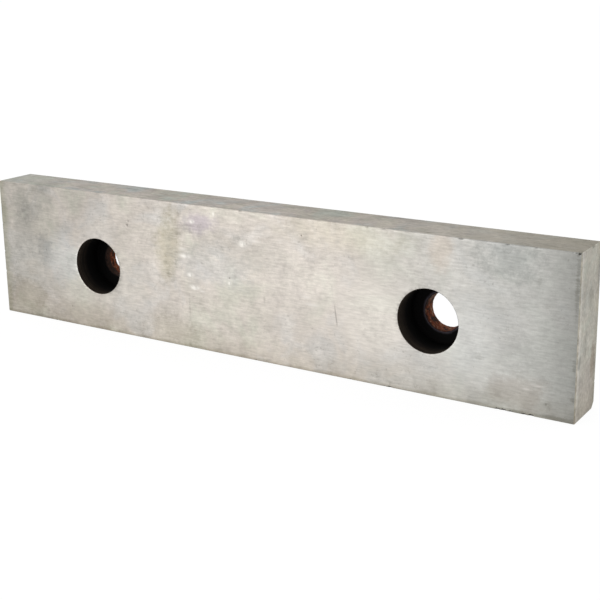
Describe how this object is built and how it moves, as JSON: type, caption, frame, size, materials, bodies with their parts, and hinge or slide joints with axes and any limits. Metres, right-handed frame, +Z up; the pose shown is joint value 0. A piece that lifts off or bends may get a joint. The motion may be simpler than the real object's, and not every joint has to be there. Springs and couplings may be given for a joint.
{
  "type": "machinable soft jaw",
  "caption": "Flat ground steel jaw bar with counterbored screw holes, bolted to a machine vice and then cut to the shape of the work it grips.",
  "frame": {"origin": "below the middle of the jaw, on its bottom face", "axes": "+X along the jaw, +Y from the work face to the mounting face, +Z up towards the top edge"},
  "size_m": [0.2, 0.0144, 0.045],
  "materials": {
    "ground_steel": "bare ground steel, satin, with light stains and handling marks, and dark scale in the screw holes"
  },
  "bodies": {
    "root": {"soft_jaw": "ground_steel"}
  },
  "joints": []
}
